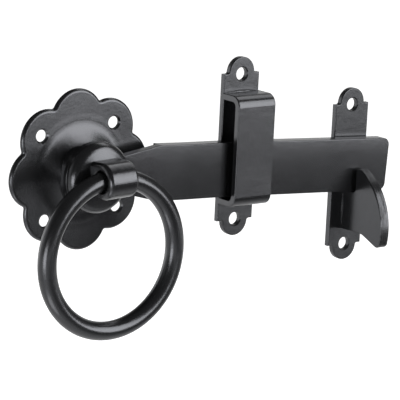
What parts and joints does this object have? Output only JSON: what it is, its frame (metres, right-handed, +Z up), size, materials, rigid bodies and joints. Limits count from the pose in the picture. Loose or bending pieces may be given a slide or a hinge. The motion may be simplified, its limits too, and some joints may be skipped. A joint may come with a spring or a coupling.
{
  "type": "gate latch",
  "caption": "Black ring-handled gate latch: scalloped rose with a turning hub and pull ring, a cranked drop bar in a strap guide, and a catch hook on its own plate.",
  "frame": {"origin": "on the gate's face, on the axis that the handle turns about, at the centre of the rose's screw circle", "axes": "+X along the gate from the handle to the catch, +Y into the gate, +Z up"},
  "size_m": [0.2094, 0.0355, 0.1142],
  "materials": {
    "coated_steel": "semi-gloss black powder coat",
    "coated_casting": "semi-gloss black powder coat",
    "plated_steel": "dull zinc plate"
  },
  "bodies": {
    "backing": {"rose_plate": "coated_steel", "guide_plate": "coated_steel", "guide_strap": "coated_steel", "strap_weld": "coated_steel", "catch_plate": "coated_steel", "catch_hook": "coated_steel", "hook_weld": "coated_steel"},
    "handle": {"hub": "coated_casting", "latch_bar": "coated_steel", "front_washer": "coated_steel", "back_washer": "plated_steel", "snap_ring": "plated_steel"},
    "pull_ring": {"ring": "coated_steel"}
  },
  "joints": [
    {"name": "handle_turn", "type": "hinge", "parent": "backing", "child": "handle", "pos_m": [0, 0, 0], "axis": [0, -1, 0], "range_deg": [0, 11.5]},
    {"name": "ring_swing", "type": "hinge", "parent": "handle", "child": "pull_ring", "pos_m": [0, -0.0275, 0.0013], "axis": [-0.9994, 0, -0.0349], "range_deg": [-20, 200]}
  ]
}
